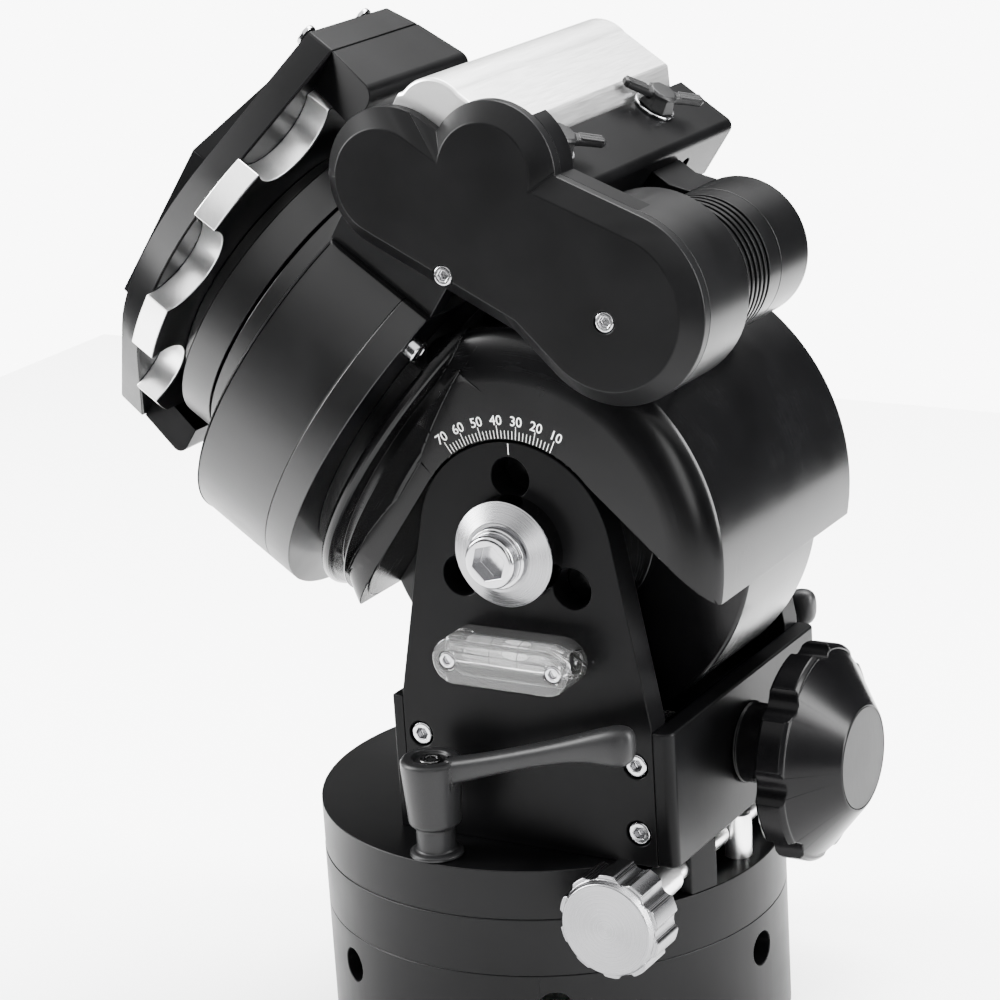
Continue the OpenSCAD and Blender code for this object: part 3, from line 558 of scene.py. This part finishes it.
def add_pivot_hardware():
    """Coned spacer and socket head screw at each end of the altitude axle."""
    for side, y in (("near", -1), ("far", 1)):
        place = frame_matrix(PIVOT, X_AXIS, (0, y, 0))
        cone = [(0, 70.9), (22.5, 70.9), (22.5, 79.9), (22.3, 80.3), (14.7, 84.35), (14.3, 84.5), (0, 84.5)]
        spacer = revolve("pivot_spacer_" + side, cone, place, 160)
        break_edges(spacer, 0.15, 2, 25)
        finish_piece(spacer, "fork", "pivot_spun", ("pivot_spacers",) if y < 0 else ())
        bolt = [(0, 34.6), (8, 34.6), (8, 70), (12.9, 84.3), (12.9, 86.4), (12.3, 87), (11.2, 87), (11.2, 90.8),
                *arc((9.6, 90.8), (1.6, 1.8), 0, 80, 6), (9.2, 92.6), (0, 92.6)]
        head = revolve("pivot_bolt_" + side, bolt, place, 128)
        combine(head, prism("socket", hexagon(7.9), place, 85.4, 99), "DIFFERENCE")
        break_edges(head, 0.2, 2, 35)
        finish_piece(head, "fork", "steel", ("pivot_bolts",) if y < 0 else ())


def add_altitude_knob():
    low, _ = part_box("altitude_knob")
    base = Vector((low[0], 0, JOINTS["altitude_knob_turn"]["pos_m"][2]))
    place = frame_matrix(base, (0, 0, -1), X_AXIS)
    profile = [(0, 23), (44.4, 23), (45.9, 24.5), (45.9, 34.4), (44.4, 36), (43, 36.1), (23, 51.9),
               (22.2, 52.3), (21.5, 52.3), (21.4, 52.1), (0, 52.1)]
    grip = revolve("altitude_knob_grip", profile, place, 240)
    for i in range(8):
        a = math.radians(45 * i)
        centre = place @ Matrix.Translation(Vector((52 * math.cos(a), 52 * math.sin(a), 0)) * MM)
        combine(grip, revolve("scallop", [(0, 5), (10, 5), (10, 60), (0, 60)], centre, 64), "DIFFERENCE")
    neck = revolve("neck", [(0, 0.05), (17.6, 0.05), (17.6, 1.2), (17, 1.6), (17, 24), (0, 24)], place, 128)
    combine(grip, neck, "UNION")
    break_edges(grip, 0.4, 3, 40)
    finish_piece(grip, "altitude_drive", "turned_knob", ("altitude_knob",))
    disc = [(0, 52.12), (21.3, 52.12), (21.3, 52.24), (21.2, 52.3), (0, 52.3)]
    face = revolve("altitude_knob_face", disc, place, 96)
    finish_piece(face, "altitude_drive", "knob_face")


def add_motor():
    place = frame_matrix(on_axis(127.5, 0, 11.5), UPWARD, Y_AXIS)
    body = [(0, -37.9), (29.5, -37.9)]
    for i in range(6):
        z = -28 + 4 * i
        body += [(29.5, z), (27.1, z + 0.1), (27.1, z + 1.9), (29.5, z + 2)]
    motor = revolve("motor_shape", body + [(29.5, 4.9), (0, 4.9)], place, 192)
    break_edges(motor, 0.25, 2, 30)
    finish_piece(motor, "polar_housing", "motor", ("motor",))
    end = [(0, 5.1), (29.5, 5.1), (29.5, 31.4), (27.9, 32.95), (0, 32.95)]
    cap = revolve("motor_cap_shape", end, place, 192)
    break_edges(cap, 0.35, 2, 30)
    finish_piece(cap, "polar_housing", "motor", ("motor_cap",))


def add_saddle_disc():
    """Black plate whose rim and scallops are cut bright."""
    low = frame_matrix(POLAR_POINT, UPWARD, POLAR)
    mesh = cleaned_copy("saddle_disc")
    back = link("saddle_disc_back", mesh.copy())
    rim = link("saddle_disc_rim", mesh)
    combine(back, prism("slab", WIDE_BOX, low, 150, SADDLE_SEAM), "INTERSECT")
    combine(rim, prism("slab", WIDE_BOX, low, 150, SADDLE_SEAM), "DIFFERENCE")
    break_edges(rim, 0.35)
    break_edges(back, 0.2)
    finish_piece(rim, "polar_axis", "aluminium", ("saddle_disc",))
    finish_piece(back, "polar_axis", "turned_polar")


# ---- gear cover -------------------------------------------------------------
def hull_outline(circles, shrink):
    """Convex outline round several (x, y, radius) circles, each made smaller by shrink."""
    points = sorted({(round(x + (r - shrink) * math.cos(a), 5), round(y + (r - shrink) * math.sin(a), 5))
                     for x, y, r in circles for a in (math.radians(3 * i) for i in range(120))})

    def chain(ordered):
        kept = []
        for q in ordered:
            while len(kept) > 1 and ((kept[-1][0] - kept[-2][0]) * (q[1] - kept[-2][1])
                                     - (kept[-1][1] - kept[-2][1]) * (q[0] - kept[-2][0])) <= 0:
                kept.pop()
            kept.append(q)
        return kept[:-1]

    return chain(points) + chain(points[::-1])


def reach(polygons, centre, angle):
    """How far a ray from the centre runs before it leaves the last polygon, and which one that is."""
    dx, dy = math.cos(angle), math.sin(angle)
    best = (0, 0)
    for k, polygon in enumerate(polygons):
        for (ax, ay), (bx, by) in zip(polygon, polygon[1:] + polygon[:1]):
            ex, ey = bx - ax, by - ay
            px, py = ax - centre[0], ay - centre[1]
            cross = dx * ey - dy * ex
            if abs(cross) > 1e-12 and 0 <= (px * dy - py * dx) / cross <= 1:
                best = max(best, ((px * ey - py * ex) / cross, k))
    return best


COVER_BACK, COVER_FACE, COVER_BEVEL = 73.0, 85.0, 7.5
COVER_CENTRE = (122, 72)
WORM_LOBE, IDLER_LOBE, MOTOR_LOBE = (108.4, 120.3, 29.2), (139, 85.2, 28), (125.2, 14.5, 39.3)
WAIST_TOP, WAIST_LOW, WAIST_MID = (130, 58, 24.5), (115, 44, 24.5), (112, 85, 24.5)
COVER_PARTS = ((MOTOR_LOBE, WAIST_TOP, WAIST_LOW), (WORM_LOBE, WAIST_LOW), (WAIST_TOP, WAIST_LOW, WAIST_MID),
               (IDLER_LOBE,))


def cover_solid(name, levels):
    """The cover's outline as a solid through (height, shrink) levels."""
    place = frame_matrix(POLAR_POINT, UPWARD, (0, -1, 0))
    shapes = [[hull_outline(circles, shrink) for circles in COVER_PARTS] for _, shrink in levels]
    angles = [math.radians(0.6 * i) for i in range(600)]
    for polygons in (shapes[0], shapes[-1]):
        for i in range(600):
            low, high = math.radians(0.6 * i), math.radians(0.6 * (i + 1))
            part = reach(polygons, COVER_CENTRE, low)[1]
            if part != reach(polygons, COVER_CENTRE, high)[1]:
                for _ in range(18):
                    middle = (low + high) / 2
                    if reach(polygons, COVER_CENTRE, middle)[1] == part:
                        low = middle
                    else:
                        high = middle
                angles.append(low)
    angles = sorted(set(round(a, 6) for a in angles))
    work = bmesh.new()
    loops = []
    for (height, _), polygons in zip(levels, shapes):
        loop = []
        for a in angles:
            r = reach(polygons, COVER_CENTRE, a)[0]
            x, y = COVER_CENTRE[0] + r * math.cos(a), COVER_CENTRE[1] + r * math.sin(a)
            loop.append(work.verts.new(place @ (Vector((x, y, height)) * MM)))
        loops.append(loop)
    work.faces.new(loops[0])
    work.faces.new(loops[-1])
    for low, high in zip(loops, loops[1:]):
        for i in range(len(angles)):
            j = (i + 1) % len(angles)
            work.faces.new((low[i], low[j], high[j], high[i]))
    return closed_piece(name, work)


def add_gear_cover():
    place = frame_matrix(POLAR_POINT, UPWARD, (0, -1, 0))
    cover = cover_solid("gear_cover_shape", ((COVER_BACK, 0), (COVER_FACE - COVER_BEVEL, 0),
                                             (COVER_FACE, COVER_BEVEL)))
    for distance, station in ((92.8, 79.2), (121.6, 12.7)):
        seat = place @ Matrix.Translation(Vector((distance, station, 0)) * MM)
        combine(cover, revolve("seat", [(0, 82.5), (4.5, 82.5), (4.5, 90), (0, 90)], seat, 48), "DIFFERENCE")
    break_edges(cover, 0.35, 2, 20)
    finish_piece(cover, "polar_housing", "cover", ("gear_cover",))
    tray = cover_solid("gear_tray_shape", ((62, 0.2), (COVER_BACK - 0.4, 0.2)))
    combine(tray, prism("behind", [(0, -60), (200, -60), (200, 83.8), (0, 83.8)], place, 40, 90), "INTERSECT")
    combine(tray, revolve("room", [(0, -90), (90.3, -90), (90.3, 90), (0, 90)],
                          frame_matrix(PIVOT, UPWARD, (0, -1, 0)), 192), "DIFFERENCE")
    break_edges(tray, 0.3, 2, 25)
    finish_piece(tray, "polar_housing", "milled")


# ---- latitude scale ---------------------------------------------------------
def mark_on_side(name, outline, angle, radius, depth=0.12):
    """A thin filled mark on the body's side, turned to an angle left of straight up."""
    turn = Matrix.Rotation(math.radians(angle), 4, "Z")
    place = NEAR_FACE @ turn @ Matrix.Translation(Vector((0, radius * MM, 0)))
    return prism(name, outline, place, BODY_HALF - 0.05, BODY_HALF + depth)


def add_scale():
    lowest, highest, step = 10, 70, 2
    ticks = []
    for value in range(lowest, highest + 1, step):
        major = value % 10 == 0
        length = 5.4 if major else 3.4
        width = 0.24 if major else 0.2
        box = [(-width / 2, 0), (width / 2, 0), (width / 2, length), (-width / 2, length)]
        ticks.append(mark_on_side("tick", box, value - LATITUDE, 45.9))
    join(ticks, "latitude_ticks")
    finish_piece(ticks[0], "polar_housing", "white")
    for value in range(lowest, highest + 1, 10):
        turn = Matrix.Rotation(math.radians(value - LATITUDE), 4, "Z")
        place = NEAR_FACE @ turn @ Matrix.Translation(Vector((0, 53.3, BODY_HALF + 0.02)) * MM)
        digits = add_number(f"latitude_{value}", str(value), place, 4.1)
        finish_piece(digits, "polar_housing", "white")


def join(pieces, name):
    work = bmesh.new()
    for piece in pieces:
        work.from_mesh(piece.data)
    mesh = bpy.data.meshes.new(name)
    work.to_mesh(mesh)
    work.free()
    for piece in pieces[1:]:
        bpy.data.objects.remove(piece)
    pieces[0].data = mesh
    pieces[0].name = name


def add_number(name, text, place, height):
    curve = bpy.data.curves.new(name, "FONT")
    curve.body = text
    curve.size = height * 1.4 * MM
    curve.align_x = "CENTER"
    curve.align_y = "CENTER"
    curve.extrude = 0.05 * MM
    curve.resolution_u = 4
    source = link(name + "_source", curve)
    graph = bpy.context.evaluated_depsgraph_get()
    graph.update()
    mesh = bpy.data.meshes.new_from_object(source.evaluated_get(graph))
    bpy.data.objects.remove(source)
    mesh.transform(place)
    return link(name, mesh)


def add_pointer():
    box = [(-0.16, 0), (0.16, 0), (0.16, 4.6), (-0.16, 4.6)]
    place = NEAR_FACE @ Matrix.Translation(Vector((0, 39.4, 0)) * MM)
    piece = prism("latitude_pointer", box, place, FORK_HALF - 0.05, FORK_HALF + 0.12)
    finish_piece(piece, "fork", "white")


# ---- bubble level -----------------------------------------------------------
LEVEL_DROP, LEVEL_DEPTH = -45.5, 8.5


def add_level():
    vial_centre = NEAR_FACE @ Vector((0, (LEVEL_DROP + 1.5) * MM, (FORK_HALF + LEVEL_DEPTH) * MM))
    vial_frame = frame_matrix(vial_centre, Z_AXIS, X_AXIS)
    tube = [(0, -19), *arc((3.2, -17.2), (1.6, 1.8), -90, 0, 4),
            *arc((3.2, 17.2), (1.6, 1.8), 0, 90, 4), (0, 19)]
    vial = revolve("level_vial_tube", tube, vial_frame, 48)
    break_edges(vial, 0.1, 1, 60)
    finish_piece(vial, "fork", "liquid", ("level_vial",))
    bubble_frame = frame_matrix(vial_centre + Vector((0.004, 0, 0.0022)), Z_AXIS, X_AXIS)
    bubble = revolve("level_bubble", [(0, -6), *arc((0, 0), (2.2, 6), -75, 75, 12), (0, 6)], bubble_frame, 32)
    break_edges(bubble, 0.05, 1, 80)
    finish_piece(bubble, "fork", "bubble")
    for side in (-1, 1):
        line_frame = frame_matrix(vial_centre + Vector((side * 6.5 * MM, 0, 0)), Z_AXIS, X_AXIS)
        ring = [(4.82, -0.18), (5.0, -0.18), (5.0, 0.18), (4.82, 0.18)]
        line = revolve(f"level_line_{side + 2}", ring, line_frame, 48)
        finish_piece(line, "fork", "plastic")
    plug_frame = frame_matrix(vial_centre + Vector((0.0255, 0, 0)), Z_AXIS, X_AXIS)
    plug = revolve("level_plug", [(0, -1.5), (4.6, -1.5), (4.9, -1.2), (4.9, 1.2), (4.6, 1.5), (0, 1.5)],
                   plug_frame, 40)
    finish_piece(break_edges(plug, 0.1, 1), "fork", "plastic")


# ---- levers -----------------------------------------------------------------
def loft(name, sections, place):
    """Closed skin through superellipse sections: (x, y, z, half width in Y, half height in Z, squareness)."""
    count = 28
    work = bmesh.new()
    rings = []
    for x, y, z, half_y, half_z, power in sections:
        ring = []
        for i in range(count):
            a = 2 * math.pi * i / count
            c, n = math.cos(a), math.sin(a)
            ring.append(work.verts.new(place @ Vector((
                x * MM, (y + half_y * math.copysign(abs(c) ** (2 / power), c)) * MM,
                (z + half_z * math.copysign(abs(n) ** (2 / power), n)) * MM))))
        rings.append(ring)
    for low, high in zip(rings, rings[1:]):
        for i in range(count):
            j = (i + 1) % count
            work.faces.new((low[i], low[j], high[j], high[i]))
    work.faces.new(rings[0][::-1])
    work.faces.new(rings[-1])
    piece = closed_piece(name, work)
    for face in piece.data.polygons:
        face.use_smooth = True
    return piece


def add_lever(node, side):
    """A clamping lever: hub on a post, and a slim arm that swells to a drooping thumb end."""
    low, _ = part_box(node)
    foot = JOINTS[side + "_lock"]["pos_m"]
    sign = -1 if side == "near" else 1
    place = Matrix.Translation(Vector(foot))
    profile = [(0, 0.4), (11.5, 0.4), (11.5, 1.4), (10.6, 2.2), (8.2, 2.4), (8.2, 13), (9.8, 13.6),
               (11.0, 14.6), (12.2, 30), (12.9, 39), *arc((10.9, 41.2), 2.0, 0, 90, 5), (7.6, 43.2),
               (7.6, 41.6), (0, 41.6)]
    hub = revolve(node + "_hub", profile, place, 96)
    arm_shape = ((4, 37.0, 5.6, 6.0, 3.2), (12, 39.0, 5.4, 5.6, 3.0), (24, 42.6, 5.2, 5.0, 2.8),
                 (40, 47.7, 5.2, 4.7, 2.6), (58, 53.2, 5.5, 4.9, 2.6), (72, 57.2, 6.0, 6.0, 2.6),
                 (80, 58.6, 6.3, 7.6, 2.6), (87, 59.4, 6.3, 8.8, 2.6), (91, 59.8, 5.6, 8.2, 2.5),
                 (93.3, 60.2, 3.9, 6.2, 2.3), (94, 60.4, 1.8, 3.4, 2.0))
    sections = [(x, -sign * (x * 0.03), z, hy, hz, sq) for x, z, hy, hz, sq in arm_shape]
    arm = loft(node + "_arm", sections, place)
    smooth_more(arm, 1)
    combine(hub, arm, "UNION")
    break_edges(hub, 0.9, 3, 30)
    finish_piece(hub, side + "_lever", "plastic", (node,))
    screw = revolve(node + "_screw", [(0, 36), (5, 36), (5, 42.2), (4.6, 42.8), (0, 42.8)], place, 48)
    socket = [(2.9 * math.cos(math.radians(a)), 2.9 * math.sin(math.radians(a))) for a in range(0, 360, 60)]
    combine(screw, prism("socket", socket, place, 39.5, 50), "DIFFERENCE")
    break_edges(screw, 0.25, 2)
    finish_piece(screw, side + "_lever", "dark_steel")


def smooth_more(piece, levels):
    modifier = piece.modifiers.new("smooth", "SUBSURF")
    modifier.levels = levels
    modifier.render_levels = levels
    apply_modifiers(piece)


# ---- wing knobs -------------------------------------------------------------
def add_wing_knob(side):
    node = "wing_knob_" + side
    base = Vector(JOINTS[side + "_wing_turn"]["pos_m"]) + 1.7 * MM * UPWARD
    place = frame_matrix(base, Matrix.Rotation(math.radians(-38), 3, UPWARD) @ Vector(Y_AXIS), UPWARD)
    profile = [(0, 0), (8.0, 0), (8.4, 0.5), (6.6, 5.0), (6.8, 6.6), (5.6, 7.6), (0, 7.8)]
    hub = revolve(node + "_hub", profile, place, 8)
    for sign in (-1, 1):
        wing = loft(node + "_wing", [(sign * x, 0, z, hy, hz, 3) for x, z, hy, hz in (
            (3, 4.6, 3.4, 2.5), (9, 5.4, 2.5, 2.0), (14, 6.1, 2.3, 1.9), (18.4, 6.8, 2.5, 1.9),
            (19.7, 7.0, 1.6, 1.2))], place)
        combine(hub, wing, "UNION")
        for y in (-1.7, 0, 1.7):
            rib = loft("rib", [(sign * 8, y, 6.6, 0.5, 1.0, 4), (sign * 18.2, y, 7.9, 0.5, 0.9, 4)], place)
            combine(hub, rib, "UNION")
    break_edges(hub, 0.25, 2, 35)
    finish_piece(hub, side + "_wing_knob", "plastic", (node,))


EDGE_WIDTH = {"level_block": 0.6, "saddle_plate": 0.8, "front_block": 0.8, "worm_block": 1.2}
REPLACED = {"polar_body", "gear_cover", "level_vial", "lock_lever_near", "lock_lever_far", "saddle_disc",
            "wing_knob_near", "wing_knob_far", "pivot_spacers", "pivot_bolts", "altitude_knob", "motor",
            "motor_cap"}

add_camera()
add_studio()
for node in BODY_OF:
    if node not in REPLACED:
        soften(node, EDGE_WIDTH.get(node, 0.4))
add_polar_body()
add_pivot_hardware()
add_altitude_knob()
add_motor()
add_saddle_disc()
add_gear_cover()
add_scale()
add_pointer()
add_level()
for side in ("near", "far"):
    add_lever("lock_lever_" + side, side)
    add_wing_knob(side)
